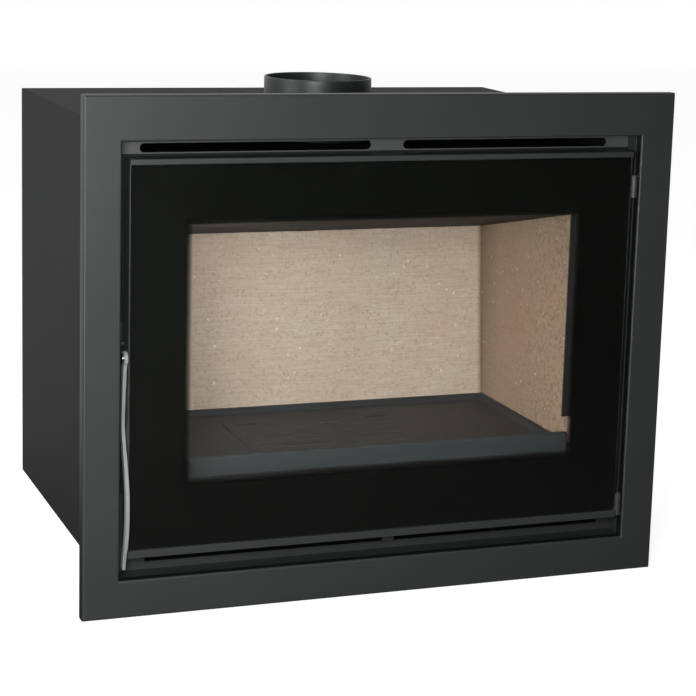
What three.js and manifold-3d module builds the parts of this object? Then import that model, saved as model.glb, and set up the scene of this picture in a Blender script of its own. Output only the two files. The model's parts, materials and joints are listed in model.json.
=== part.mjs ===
// Fireplace insert with a flush glass door, its firebox, casing and surround frame.
// Millimetres. +X right, +Y into the wall, +Z up. While the pieces are made, the frame's front
// plane is y = 0, the door's middle is x = 0 and the frame's lower edge is z = 0.
import * as THREE from 'three';
import { mergeVertices } from 'three/addons/utils/BufferGeometryUtils.js';
import Module from 'manifold-3d';

const wasm = await Module();
wasm.setup();

// ---------- driving dimensions ----------
const GAP = 0.3;               // between faces that touch
const RUN = 0.3;               // running clearance round a pin
const PASS = 1;                // a cutting body runs this far past a face
const ROOT = 0.5;              // joined shapes run this far into each other

const ARC_STEPS = 8;           // steps along a slot's round end
const BORE_STEPS = 16;
const HOLE_STEPS = 24;
const ROUND_STEPS = 32;        // steps round a small turned piece
const FLUE_STEPS = 64;
const FOLD_STEPS = 3;
const WELD = 1e-4;             // vertices closer than this are one

// Surround frame
const FRAME_W = 800;
const FRAME_H = 660;
const FRAME_DEPTH = 18;        // outer return
const FRAME_LIP = 15;          // inner return
const FRAME_T = 2.5;
const FRAME_FOLD = 3;          // fold radius on the front edges
const BAND_SIDE = 47.4;        // face widths, with the folds
const BAND_TOP = 56.8;
const BAND_BOTTOM = 49.4;

// Throat: the sleeve behind the frame's inner return, flush with it
const THROAT_T = 2.5;

// Casing
const CASING_OVERHANG = 35;    // frame beyond the casing at the sides
const CASING_TOP_DROP = 43;    // frame above the casing
const CASING_BELOW = 2.9;      // casing's floor below the throat
const CASING_CLEAR = 0.6;      // behind the frame's return
const CASING_BACK = 559;
const CASING_T = 1.5;

// Handle
const LEVER_T = 4.4;
const LEVER_W = 11.5;
const LEVER_TAPER = 0.25;      // share of the width lost at the lower end
const LEVER_STEPS = 40;
const LEVER_CLEAR = 1.1;       // between lever and door edge
const LEVER_BOSS = 9;
const LEVER_SET_BACK = 1;      // boss behind the frame's front plane
const PIVOT_HEIGHT = 256.4;    // above the door's lower edge
const NOSE_CLEAR = 6;          // between the lever's nose and the front plate
const NOSE_H = 10;
const BOLT_R = 3;
const BOLT_HEAD_R = 6.3;
const BOLT_HEAD_H = 3.2;
const BOLT_RIM_H = 1.12;       // straight edge under the dome
const BOLT_DOME_STEPS = 4;
const BOLT_END = 1;            // bolt beyond its nut
const BOLT_CLEAR = 1.6;        // between bolt head and throat
const NUT_R = 5.7;
const NUT_H = 5;
// [y, z] from the pivot to points on the middle of the lever, down to its lower end.
const LEVER_LINE = [
  [0, 0], [5, -24], [9, -54], [11, -88], [4, -112], [-7.5, -141], [-16, -171], [-17, -202], [-12, -233],
  [-3, -253], [2, -272],
];
const KEEPER_GAP = 3;          // above the lever's boss
const KEEPER_SIDE = 1;
const KEEPER_DEPTH = 14;
const KEEPER_H = 28;
const KEEPER_T = 3;
const KEEPER_LIP = 5;

// Door
const DOOR_GAP_BOTTOM = 30.7;  // throat below and above the door
const DOOR_GAP_TOP = 23.9;
const DOOR_DEPTH = 31;
const STILE_W = 58;
const RAIL_TOP_H = 69.8;
const RAIL_BOTTOM_H = 80.4;
const DOOR_LIP_TOP = 6.9;      // metal seen above and below the glass
const DOOR_LIP_BOTTOM = 9.4;
const DOOR_TUBE_T = 3;
const GLASS_T = 4;
const GLASS_INSET = 1;
const CLIP_REACH = 14;
const CLIP_T = 2;
const CLIP_DEPTH = 20;
const CLIP_NOTCH = 12;

// Hinges
const BARREL_CLEAR = 0.9;      // each side of the barrel, beside the door
const BARREL_WALL = 1.1;
const BARREL_SET_BACK = 0.4;
const BARREL_H = 26;
const LEAF_T = 2;
const LEAF_FRONT = 2;
const LEAF_SHORT = 5;          // leaf ends before the door's back
const HINGE_PLATE_T = 4;
const HINGE_LOW = 6.4;         // lower barrel above the door's lower edge
const HINGE_HIGH = 61.8;       // upper barrel's low end below the door's top
const PIN_SHORT = 2;           // pin ends inside the barrel

// Door seal and front plates
const SEAL_ROOM = 9;           // between the door's back and the front plates
const SEAL_W = 9.4;
const SEAL_CHANNEL_WALL = 2;
const SEAL_CHANNEL_H = 5;
const FACADE_T = 3;
const FIRE_SIDE = 8;           // fire opening beyond the door's inner opening
const FIRE_BELOW = 6;
const FIRE_ABOVE = 8;

// Warm-air slots and air inlet
const VENT_PANEL_H = 22.1;
const SLOT_INNER = 22;         // half the bar between the slots
const SLOT_SHIFT = 5.4;        // that bar's middle, right of the door's
const SLOT_END = 31.6;         // from slot to throat
const SLOT_DROP = 14.7;        // middle of the slots below the throat's top
const SLOT_H = 11.5;
const INLET_ABOVE = 12.1;      // inlet above the throat's floor
const INLET_BELOW_DOOR = 0.6;
const INLET_END_LEFT = 42.6;
const INLET_END_RIGHT = 17.6;

// Firebox
const STEEL_T = 4;
const SIDE_DUCT = 21.2;        // air space between firebox and casing
const FLOOR_DROP = 4.3;        // steel floor below the fire opening
const ROOF_DROP = 45;          // firebox roof below the casing's top
const WALL_BELOW_FLOOR = 43.7;
const STAND_W = 100;
const STAND_INSET = 48.3;
const STAND_FRONT = 27;
const STAND_T = 3;
const WASH_DEPTH = 18;         // air-wash deflector
const WASH_LIP = 6;
const WASH_BELOW_VENT = 27.6;

// Lining and baffle
const LINING_T = 30;
const LINING_DEPTH = 313.8;    // clear depth of the fire, at the hearth
const BACK_LEAN = 0.099;       // the back lining leans back this much per height
const STRIP_DEPTH = 30;        // strips that hold the side linings
const STRIP_REACH = 20;        // strip inside the lining's face
const STRIP_LOW = 48;          // above the hearth
const STRIP_HIGH = 76;         // above the baffle at the back lining's foot
const STRIP_T = 3;
const BAFFLE_DROP = 142.4;     // underside below the firebox roof, over the back lining's foot
const BAFFLE_RISE = 0.208;     // rise per length towards the door
const BAFFLE_SET_BACK = 38.7;
const BAFFLE_T = 6;
const BAFFLE_FOLD = 20;        // front edge, folded up

// Hearth, grate and log retainer
const HEARTH_T = 10;
const HEARTH_RIM = 7.5;
const HEARTH_RIM_W = 14;
const HEARTH_BEVEL = 8;
const GRATE_X = 5;
const GRATE_W = 260;
const GRATE_D = 167;
const GRATE_BEHIND = 55.1;     // between grate and back lining
const GRATE_SEAT = 8;
const GRATE_BAR = 3.2;         // air slots between the bars
const GRATE_ROWS = 5;
const GRATE_ROW_FRONT = 12;    // first and last slot from the well's walls
const GRATE_ROW_REAR = 28;
const GRATE_ROW_END = 6;
const GRATE_WEB = 8;           // half the web in the middle
const FINGER_END = 5;          // finger slots from the well's walls
const FINGER_REAR = 9;
const FINGER_W = 36;
const FINGER_H = 7;
const FENCE_T = 9;
const FENCE_H = 24;            // above the hearth
const FENCE_END = 8;           // between retainer and side linings
const FENCE_LEAN = 2;          // draft of the cast front face
const FENCE_ROUND_FRONT = 2;
const FENCE_ROUND_BACK = 1;

// Ash well, pan and air slider
const WELL_ABOVE_INLET = 6.4;
const WELL_T = 2;
const LEDGE = 12;              // carries the slider
const PAN_CLEAR = 5;
const PAN_H = 48;
const PAN_T = 1.5;
const PORT_PITCH = 50;
const PORT_W = 30;
const PORT_Z = 24;
const PORT_H = 14;
const SLIDER_X = 20;
const SLIDER_TAB_W = 16;
const SLIDER_TAB_DROP = 6;
const SLIDER_REACH = 10;       // tab in front of the front plate
const SLIDER_T = 3;
const SLIDER_W = 150;
const SLIDER_H = 40;

// Rear air duct
const DUCT_W = 220;
const DUCT_DEPTH = 42;
const DUCT_DROP = 48;          // below the firebox roof
const DUCT_T = 2;

// Flue collar
const FLUE_R = 75;
const FLUE_T = 3;
const FLUE_AHEAD = 85.1;       // axis in front of the back lining's foot
const FLUE_RISE = 39;          // above the casing
const FLUE_FLANGE = 16;
const FLUE_HOLE_CLEAR = 3;

// Base rails and levelling feet
const FLOOR_GAP = 2;           // frame above the floor
const FOOT_R = 20;
const FOOT_PAD = 6;
const FOOT_CHAMFER = 4;
const FOOT_EDGE = 2;
const STUD_R = 5;
const STUD_NUT_WALL = 4;
const STUD_NUT_H = 7;
const FOOT_INSET = 115;        // from the casing's side, front and back
const FOOT_INSET_FRONT = 91.4;
const FOOT_INSET_REAR = 89;
const RAIL_W = 40;
const RAIL_H = 20;
const RAIL_T = 3;

// ---------- sizes that follow ----------
const far = 2 * FRAME_W;       // beyond the whole part

const frameHalf = FRAME_W / 2;
const openHalf = frameHalf - BAND_SIDE;
const openTop = FRAME_H - BAND_TOP;
const throatIn = openHalf;
const throatOut = throatIn + THROAT_T;
const throatLow = BAND_BOTTOM - THROAT_T;
const throatHigh = openTop + THROAT_T;
const throatFront = FRAME_LIP + GAP;

// The gap beside the door holds the lever and its bolt head on the left, the barrels on the right.
const sideGap = LEVER_CLEAR + LEVER_T + GAP + BOLT_HEAD_H + BOLT_CLEAR;
const doorHalf = throatIn - sideGap;
const doorLow = throatLow + DOOR_GAP_BOTTOM;
const doorHigh = throatHigh - DOOR_GAP_TOP;
const viewHalf = doorHalf - STILE_W;
const viewLow = doorLow + RAIL_BOTTOM_H;
const viewHigh = doorHigh - RAIL_TOP_H;
const fireHalf = viewHalf + FIRE_SIDE;
const fireLow = viewLow - FIRE_BELOW;
const fireHigh = viewHigh + FIRE_ABOVE;
const glassHalf = doorHalf - GLASS_INSET;
const glassBack = GAP + GLASS_T;
const tubeFront = glassBack + GAP;
const facadeFront = DOOR_DEPTH + SEAL_ROOM;
const facadeBack = facadeFront + FACADE_T;
const channelHalf = fireHalf + SEAL_W + 2 * GAP;

const ventLow = throatHigh - VENT_PANEL_H;
const slotZ = throatHigh - SLOT_DROP;
const slotOuter = throatIn - SLOT_END;
const inletLow = throatLow + INLET_ABOVE;
const inletHigh = doorLow - INLET_BELOW_DOOR;

const casingHalf = frameHalf - CASING_OVERHANG;
const casingIn = casingHalf - CASING_T;
const casingLow = throatLow - CASING_BELOW;
const casingTop = FRAME_H - CASING_TOP_DROP;
const casingFront = FRAME_DEPTH + CASING_CLEAR;
const lidHalf = casingIn - GAP;

const wallOut = casingIn - SIDE_DUCT;
const wallIn = wallOut - STEEL_T;
const boxHalf = wallIn - GAP;
const liningHalf = boxHalf - LINING_T;
const innerHalf = liningHalf - GAP;
const liningFront = facadeBack + GAP + STRIP_DEPTH;
const liningBack = liningFront + LINING_DEPTH;
const liningEnd = liningBack + LINING_T;
const floorTop = fireLow - FLOOR_DROP;
const floorLow = floorTop - STEEL_T;
const roofTop = casingTop - ROOF_DROP;
const roofLow = roofTop - STEEL_T;
const wallLow = floorLow - WALL_BELOW_FLOOR;
const flueY = liningBack - FLUE_AHEAD;
const flueTop = casingTop + FLUE_RISE;

const hearthBase = floorTop + GAP;
const hearthTop = hearthBase + HEARTH_T;
const baffleZ = roofLow - BAFFLE_DROP;
const baffleFront = liningFront + BAFFLE_SET_BACK;
const baffleAt = (y) => baffleZ + (liningBack - y) * BAFFLE_RISE;
// A face of the back lining, given by its foot, leans up to the baffle's underside: its [y, z] there.
function leaningTop(foot) {
  const rise = (baffleAt(foot) - hearthBase) / (1 + BACK_LEAN * BAFFLE_RISE);
  return [foot + rise * BACK_LEAN, hearthBase + rise];
}
const boardsEnd = leaningTop(liningEnd)[0];
const backWall = boardsEnd + GAP;
const backOut = backWall + STEEL_T;
const fenceFront = liningFront + GAP;
const fenceBack = fenceFront + FENCE_T;
const fenceTop = hearthTop + FENCE_H;
const grateHalf = GRATE_W / 2;
const grateBack = liningBack - GRATE_BEHIND;
const grateFront = grateBack - GRATE_D;

const wellHalf = grateHalf - GRATE_SEAT;
const wellFront = grateFront + GRATE_SEAT;
const wellBack = grateBack - GRATE_SEAT;
const wellLow = inletLow + WELL_ABOVE_INLET;
const wellHigh = floorLow - GAP;
const ledgeTop = wellLow + WELL_T;

const hingeX = doorHalf + sideGap / 2;
const barrelR = sideGap / 2 - BARREL_CLEAR;
const hingeY = barrelR + BARREL_SET_BACK;
const pinR = barrelR - BARREL_WALL - RUN;
const leverNear = -doorHalf - LEVER_CLEAR;
const leverFar = leverNear - LEVER_T;
const pivotY = LEVER_BOSS + LEVER_SET_BACK;
const pivotZ = doorLow + PIVOT_HEIGHT;
const nutSeat = -viewHalf + CLIP_T + 2 * GAP;

const railTop = casingLow - GAP;
const railLow = railTop - RAIL_H;
const footX = casingHalf - FOOT_INSET;
const footRows = [['front', casingFront + FOOT_INSET_FRONT], ['rear', CASING_BACK - FOOT_INSET_REAR]];

// ---------- materials ----------
const paint = (color, roughness = 0.55, metalness = 0.2) =>
  new THREE.MeshStandardMaterial({ color, roughness, metalness });
const anthracite = paint(0x3f4346);
const casingSteel = paint(0x34373a, 0.6);
const ventSteel = paint(0x454a48);
const bareSteel = paint(0x8a8c8e, 0.4, 0.9);
const polished = paint(0xb9bbbd, 0.2, 1);
const stoveSteel = paint(0x26282a, 0.8);
const castIron = paint(0x2c2e30, 0.75, 0.4);
const vermiculite = paint(0xb9a78c, 0.95, 0);
const rope = paint(0x3a3a3a, 1, 0);
const glass = paint(0x14171a, 0.08, 0);
const rubber = paint(0x1c1c1c, 0.9, 0);

// ---------- geometry helpers ----------
function box(x0, x1, y0, y1, z0, z1) {
  const g = new THREE.BoxGeometry(x1 - x0, y1 - y0, z1 - z0);
  return g.translate((x0 + x1) / 2, (y0 + y1) / 2, (z0 + z1) / 2);
}

// A box whose top is larger than its bottom by `flare` on every side.
function flaredBox(x0, x1, y0, y1, z0, z1, flare) {
  const g = box(x0, x1, y0, y1, z0, z1);
  const p = g.getAttribute('position');
  for (let i = 0; i < p.count; i += 1) {
    if (p.getZ(i) < (z0 + z1) / 2) continue;
    p.setX(i, p.getX(i) + (p.getX(i) > (x0 + x1) / 2 ? flare : -flare));
    p.setY(i, p.getY(i) + (p.getY(i) > (y0 + y1) / 2 ? flare : -flare));
  }
  return g;
}

function polygon(points) {
  return new THREE.Shape(points.map(([u, v]) => new THREE.Vector2(u, v)));
}

const rect = (u0, u1, v0, v1) => polygon([[u0, v0], [u1, v0], [u1, v1], [u0, v1]]);

// A long hole with round ends between u0 and u1.
function slot(u0, u1, v, height) {
  const r = height / 2;
  const s = new THREE.Shape();
  s.moveTo(u0 + r, v - r);
  s.lineTo(u1 - r, v - r);
  s.absarc(u1 - r, v, r, -Math.PI / 2, Math.PI / 2, false);
  s.lineTo(u0 + r, v + r);
  s.absarc(u0 + r, v, r, Math.PI / 2, Math.PI * 1.5, false);
  return s;
}

function disc(u, v, r) {
  const s = new THREE.Shape();
  s.absarc(u, v, r, 0, Math.PI * 2, false);
  return s;
}

function extrude(shape, holes, depth, curveSegments, bevel = 0) {
  const s = shape.clone();
  s.holes = holes;
  return new THREE.ExtrudeGeometry(s, {
    depth: depth - 2 * bevel,
    curveSegments,
    steps: 1,
    bevelEnabled: bevel > 0,
    bevelThickness: bevel,
    bevelSize: bevel,
    bevelOffset: -bevel,
    bevelSegments: FOLD_STEPS,
  }).translate(0, 0, bevel);
}

// Plates: a shape in (x, z) with its thickness along Y, in (x, y) along Z, in (y, z) along X.
function plateY(shape, holes, y0, y1, curveSegments = ARC_STEPS, bevel = 0) {
  return extrude(shape, holes, y1 - y0, curveSegments, bevel).rotateX(Math.PI / 2).translate(0, y1, 0);
}

function plateZ(shape, holes, z0, z1, curveSegments = ARC_STEPS, bevel = 0) {
  return extrude(shape, holes, z1 - z0, curveSegments, bevel).translate(0, 0, z0);
}

function plateX(shape, holes, x0, x1, curveSegments = ARC_STEPS, bevel = 0) {
  const turn = new THREE.Matrix4().makeBasis(
    new THREE.Vector3(0, 1, 0), new THREE.Vector3(0, 0, 1), new THREE.Vector3(1, 0, 0));
  return extrude(shape, holes, x1 - x0, curveSegments, bevel).applyMatrix4(turn).translate(x0, 0, 0);
}

// A turned piece about a vertical axis; the profile is a list of [radius, z].
function turned(profile, x, y, segments = ROUND_STEPS) {
  const points = profile.map(([r, z]) => new THREE.Vector2(r, z));
  return new THREE.LatheGeometry(points, segments).rotateX(Math.PI / 2).translate(x, y, 0);
}

const rod = (r, z0, z1, x, y) => turned([[0, z0], [r, z0], [r, z1], [0, z1]], x, y);

function solid(geometry) {
  const bare = geometry.clone();
  bare.deleteAttribute('normal');
  bare.deleteAttribute('uv');
  const merged = mergeVertices(bare, WELD);
  return new wasm.Manifold(new wasm.Mesh({
    numProp: 3,
    vertProperties: new Float32Array(merged.getAttribute('position').array),
    triVerts: new Uint32Array(merged.getIndex().array),
  }));
}

function surface(manifold) {
  const mesh = manifold.getMesh();
  const g = new THREE.BufferGeometry();
  g.setAttribute('position', new THREE.BufferAttribute(new Float32Array(mesh.vertProperties), 3));
  g.setIndex(new THREE.BufferAttribute(new Uint32Array(mesh.triVerts), 1));
  g.computeVertexNormals();
  return g;
}

const cut = (a, ...tools) => surface(tools.reduce((m, t) => m.subtract(solid(t)), solid(a)));
const join = (a, ...others) => surface(others.reduce((m, o) => m.add(solid(o)), solid(a)));
const common = (a, b) => surface(solid(a).intersect(solid(b)));

// An open-topped tray with walls and floor of thickness t.
const tray = (x0, x1, y0, y1, z0, z1, t) => cut(
  box(x0, x1, y0, y1, z0, z1), box(x0 + t, x1 - t, y0 + t, y1 - t, z0 + t, z1 + t));

const insert = new THREE.Group();
function add(name, geometry, material) {
  const mesh = new THREE.Mesh(geometry, material);
  mesh.name = name;
  insert.add(mesh);
}

const SIDES = [['left', -1], ['right', 1]];
function sideBox(side, near, outer, ...rest) {
  return box(Math.min(side * near, side * outer), Math.max(side * near, side * outer), ...rest);
}

// ---------- surround frame ----------
function surroundFrame() {
  const outline = rect(-frameHalf, frameHalf, 0, FRAME_H);
  const opening = rect(-openHalf, openHalf, BAND_BOTTOM, openTop);
  const folded = plateY(outline, [opening], 0, 2 * FRAME_DEPTH, ARC_STEPS, FRAME_FOLD);
  const hollow = plateY(
    rect(-frameHalf + FRAME_T, frameHalf - FRAME_T, FRAME_T, FRAME_H - FRAME_T),
    [rect(-openHalf - FRAME_T, openHalf + FRAME_T, BAND_BOTTOM - FRAME_T, openTop + FRAME_T)],
    FRAME_T, 3 * FRAME_DEPTH);
  const behind = box(-far, far, FRAME_DEPTH, far, -far, far);
  const shortLip = box(-openHalf - 2 * FRAME_T, openHalf + 2 * FRAME_T, FRAME_LIP, far,
    BAND_BOTTOM - 2 * FRAME_T, openTop + 2 * FRAME_T);
  return cut(folded, hollow, behind, shortLip);
}
add('surround_frame', surroundFrame(), anthracite);

// ---------- throat and front plates ----------
// Each side plate is folded outwards at its rear edge, up to the casing.
const throatBack = facadeFront - GAP;
for (const [name, side] of SIDES) {
  add(`throat_${name}`, join(
    sideBox(side, throatIn, throatOut, throatFront, throatBack, throatLow, throatHigh),
    sideBox(side, throatIn, lidHalf, throatBack - THROAT_T, throatBack, throatLow, throatHigh)),
  anthracite);
}
const throatSpan = throatIn - GAP;
for (const [name, low] of [['bottom', throatLow], ['top', throatHigh - THROAT_T]]) {
  add(`throat_${name}`, box(-throatSpan, throatSpan, throatFront, throatBack, low, low + THROAT_T),
    anthracite);
}

const ventSlots = [
  slot(-slotOuter, SLOT_SHIFT - SLOT_INNER, slotZ, SLOT_H),
  slot(SLOT_SHIFT + SLOT_INNER, slotOuter, slotZ, SLOT_H),
];
add('vent_panel', plateY(rect(-throatOut, throatOut, ventLow, throatHigh), ventSlots,
  facadeFront, facadeBack), ventSteel);
add('front_plate_top',
  box(-fireHalf + GAP, fireHalf - GAP, facadeFront, facadeBack, fireHigh, ventLow - GAP), stoveSteel);
for (const [name, side] of SIDES) {
  add(`front_plate_${name}`, sideBox(side, fireHalf, throatOut, facadeFront, facadeBack,
    fireLow + GAP, ventLow - GAP), stoveSteel);
}
add('front_plate_bottom', plateY(rect(-throatOut, throatOut, throatLow, fireLow),
  [rect(INLET_END_LEFT - throatIn, throatIn - INLET_END_RIGHT, inletLow, inletHigh)],
  facadeFront, facadeBack), anthracite);

// ---------- casing ----------
for (const [name, side] of SIDES) {
  add(`casing_${name}`, sideBox(side, casingIn, casingHalf, casingFront, CASING_BACK,
    casingLow, casingTop), casingSteel);
}
add('casing_top', plateZ(rect(-lidHalf, lidHalf, casingFront, CASING_BACK),
  [disc(0, flueY, FLUE_R + FLUE_HOLE_CLEAR)], casingTop - CASING_T, casingTop, HOLE_STEPS), casingSteel);
add('casing_bottom', box(-lidHalf, lidHalf, casingFront, CASING_BACK,
  casingLow, casingLow + CASING_T), casingSteel);
add('casing_back', box(-lidHalf, lidHalf, CASING_BACK - CASING_T, CASING_BACK,
  casingLow + CASING_T + GAP, casingTop - CASING_T - GAP), casingSteel);

// ---------- base rails and levelling feet ----------
function baseRail(x) {
  const x0 = x - RAIL_W / 2;
  const x1 = x + RAIL_W / 2;
  const channel = box(x0, x1, footRows[0][1] - RAIL_W, footRows[1][1] + RAIL_W, railLow, railTop);
  const inside = box(x0 + RAIL_T, x1 - RAIL_T, -far, far, railLow + RAIL_T, railTop - RAIL_T);
  const bores = footRows.map(([, y]) => rod(STUD_R + GAP, railLow - RAIL_H, railTop - RAIL_T, x, y));
  return cut(channel, inside, ...bores);
}
function levellingFoot(x, y) {
  const padTop = FOOT_PAD - FLOOR_GAP;
  const nutTop = railLow - GAP;
  const nutR = STUD_R + STUD_NUT_WALL;
  const studTop = railTop - RAIL_T - GAP;
  return turned([
    [0, -FLOOR_GAP], [FOOT_R, -FLOOR_GAP], [FOOT_R, padTop - FOOT_EDGE], [FOOT_R - FOOT_CHAMFER, padTop],
    [STUD_R, padTop + FOOT_EDGE], [STUD_R, nutTop - STUD_NUT_H], [nutR, nutTop - STUD_NUT_H],
    [nutR, nutTop], [STUD_R, nutTop], [STUD_R, studTop], [0, studTop],
  ], x, y);
}
for (const [name, side] of SIDES) {
  add(`base_rail_${name}`, baseRail(side * footX), casingSteel);
  for (const [row, y] of footRows) {
    add(`levelling_foot_${row}_${name}`, levellingFoot(side * footX, y), rubber);
  }
}

// ---------- firebox ----------
for (const [name, side] of SIDES) {
  add(`firebox_wall_${name}`, sideBox(side, wallIn, wallOut, facadeBack + GAP, backOut,
    wallLow, roofLow - GAP), stoveSteel);
}
add('firebox_wall_back', box(-boxHalf, boxHalf, backWall, backOut, wallLow, roofLow - GAP), stoveSteel);
add('firebox_floor', plateZ(rect(-boxHalf, boxHalf, facadeBack + GAP, backWall - GAP),
  [rect(GRATE_X - wellHalf, GRATE_X + wellHalf, wellFront, wellBack)], floorLow, floorTop), stoveSteel);
add('firebox_roof', plateZ(rect(-wallOut, wallOut, facadeBack + GAP, backOut),
  [disc(0, flueY, FLUE_R - FLUE_T)], roofLow, roofTop, HOLE_STEPS), stoveSteel);

// Stands carry the firebox floor on the casing's bottom and leave the middle open for air.
const standOut = wallIn - STAND_INSET;
const standIn = standOut - STAND_W;
const standLow = casingLow + CASING_T + GAP;
const standHigh = floorLow - GAP;
for (const [name, side] of SIDES) {
  const channel = sideBox(side, standIn, standOut, facadeBack + STAND_FRONT, backWall - STAND_T,
    standLow, standHigh);
  const hollow = sideBox(side, standIn + STAND_T, standOut + STAND_T, 0, CASING_BACK,
    standLow + STAND_T, standHigh - STAND_T);
  add(`firebox_stand_${name}`, cut(channel, hollow), stoveSteel);
}

// Hat-section duct on the back wall, open at the bottom.
const ductFront = backOut + GAP;
const ductHalf = DUCT_W / 2;
const ductTop = roofLow - DUCT_DROP;
add('rear_air_duct', cut(
  box(-ductHalf, ductHalf, ductFront, ductFront + DUCT_DEPTH, wallLow, ductTop),
  box(-ductHalf + DUCT_T, ductHalf - DUCT_T, 0, ductFront + DUCT_DEPTH - DUCT_T, -far, ductTop - DUCT_T),
), stoveSteel);

// Flue collar with a flange on the firebox roof.
const flangeLow = roofTop + GAP;
const flueIn = FLUE_R - FLUE_T;
const flangeOut = FLUE_R + FLUE_FLANGE;
add('flue_collar', turned([
  [flueIn, flangeLow], [flangeOut, flangeLow], [flangeOut, flangeLow + FLUE_T], [FLUE_R, flangeLow + FLUE_T],
  [FLUE_R, flueTop], [flueIn, flueTop], [flueIn, flangeLow],
], 0, flueY, FLUE_STEPS), stoveSteel);

// Air-wash deflector: an angle behind the top front plate.
const washTop = ventLow - WASH_BELOW_VENT;
add('air_wash_deflector', cut(
  box(-fireHalf, fireHalf, facadeBack + GAP, facadeBack + WASH_DEPTH, fireHigh - WASH_LIP, washTop),
  box(-far, far, 0, facadeBack + WASH_DEPTH - WELL_T, 0, washTop - WELL_T)), stoveSteel);

// ---------- lining ----------
const stripLow = hearthTop + STRIP_LOW;
const stripHigh = baffleZ + STRIP_HIGH;
for (const [name, side] of SIDES) {
  const profile = polygon([
    [liningFront, hearthBase], [boardsEnd, hearthBase],
    [boardsEnd, baffleAt(boardsEnd)], [liningFront, baffleAt(liningFront)],
  ]);
  const near = Math.min(side * liningHalf, side * (liningHalf + LINING_T));
  add(`lining_${name}`, plateX(profile, [], near, near + LINING_T), vermiculite);
  add(`lining_strip_${name}`, cut(
    sideBox(side, liningHalf - STRIP_REACH, boxHalf, facadeBack + GAP, liningFront - GAP,
      stripLow, stripHigh),
    sideBox(side, 0, boxHalf - STRIP_T, 0, liningFront - GAP - STRIP_T, 0, far)), stoveSteel);
}
add('lining_back', plateX(polygon([
  [liningBack, hearthBase], [liningEnd, hearthBase], leaningTop(liningEnd), leaningTop(liningBack),
]), [], -innerHalf, innerHalf), vermiculite);
// The baffle plate rests on the boards' tops.
const foldBack = baffleFront + BAFFLE_T;
const foldTop = baffleAt(baffleFront) + BAFFLE_FOLD;
add('baffle', plateX(polygon([
  [baffleFront, baffleAt(baffleFront) + GAP], [boardsEnd, baffleAt(boardsEnd) + GAP],
  [boardsEnd, baffleAt(boardsEnd) + BAFFLE_T], [foldBack, baffleAt(foldBack) + BAFFLE_T],
  [foldBack, foldTop], [baffleFront, foldTop],
]), [], -boxHalf, boxHalf), stoveSteel);

// ---------- hearth, grate, log retainer ----------
function hearthPlate() {
  const rimTop = hearthTop + HEARTH_RIM;
  const rimIn = innerHalf - HEARTH_RIM_W;
  const hearthFront = fenceBack + GAP;
  const hearthBack = liningBack - GAP;
  const slab = box(-innerHalf, innerHalf, hearthFront, hearthBack, hearthBase, rimTop);
  const pocket = flaredBox(-rimIn, rimIn, hearthFront - 2 * HEARTH_RIM_W, hearthBack - HEARTH_RIM_W,
    hearthTop, rimTop + PASS, HEARTH_BEVEL);
  const hole = box(GRATE_X - grateHalf - GAP, GRATE_X + grateHalf + GAP, grateFront - GAP, grateBack + GAP,
    0, far);
  return cut(slab, pocket, hole);
}
add('hearth_plate', hearthPlate(), castIron);

function grate() {
  const firstRow = wellFront + GRATE_ROW_FRONT;
  const pitch = (wellBack - GRATE_ROW_REAR - firstRow) / (GRATE_ROWS - 1);
  const holes = [];
  for (let row = 0; row < GRATE_ROWS; row += 1) {
    const y = firstRow + row * pitch;
    holes.push(slot(GRATE_X - wellHalf + GRATE_ROW_END, GRATE_X - GRATE_WEB, y, GRATE_BAR));
    holes.push(slot(GRATE_X + GRATE_WEB, GRATE_X + wellHalf - GRATE_ROW_END, y, GRATE_BAR));
  }
  const fingerOut = wellHalf - FINGER_END;
  const fingerIn = fingerOut - FINGER_W;
  holes.push(slot(GRATE_X - fingerOut, GRATE_X - fingerIn, wellBack - FINGER_REAR, FINGER_H));
  holes.push(slot(GRATE_X + fingerIn, GRATE_X + fingerOut, wellBack - FINGER_REAR, FINGER_H));
  return plateZ(rect(GRATE_X - grateHalf, GRATE_X + grateHalf, grateFront, grateBack), holes,
    hearthBase, hearthTop, ARC_STEPS / 2);
}
add('grate', grate(), castIron);

const fenceHalf = liningHalf - FENCE_END;
add('log_retainer', plateX(polygon([
  [fenceFront, hearthBase], [fenceBack, hearthBase], [fenceBack, fenceTop - FENCE_ROUND_BACK],
  [fenceBack - FENCE_ROUND_BACK, fenceTop], [fenceFront + FENCE_LEAN + FENCE_ROUND_FRONT, fenceTop],
  [fenceFront + FENCE_LEAN, fenceTop - FENCE_ROUND_FRONT],
]), [], -fenceHalf, fenceHalf), castIron);

// ---------- ash well, pan and air slider ----------
// The well's front wall and the slider have the same row of air ports.
const portX = [-PORT_PITCH, 0, PORT_PITCH].map((offset) => GRATE_X + offset);
const ports = () => portX.map((x) => slot(x - PORT_W / 2, x + PORT_W / 2, wellLow + PORT_Z, PORT_H));
const sliderHalf = SLIDER_W / 2;
function ashWell() {
  const body = tray(GRATE_X - wellHalf - WELL_T, GRATE_X + wellHalf + WELL_T, wellFront - WELL_T,
    wellBack + WELL_T, wellLow, wellHigh, WELL_T);
  const ledge = box(GRATE_X - sliderHalf, GRATE_X + sliderHalf, wellFront - WELL_T - LEDGE,
    wellFront - WELL_T + ROOT, wellLow, ledgeTop);
  const bores = ports().map((port) => plateY(port, [], wellFront - LEDGE, wellFront + LEDGE));
  return cut(join(body, ledge), ...bores);
}
add('ash_well', ashWell(), stoveSteel);
const panLow = ledgeTop + GAP;
add('ash_pan', tray(GRATE_X - wellHalf + PAN_CLEAR, GRATE_X + wellHalf - PAN_CLEAR, wellFront + PAN_CLEAR,
  wellBack - PAN_CLEAR, panLow, panLow + PAN_H, PAN_T), stoveSteel);

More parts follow.
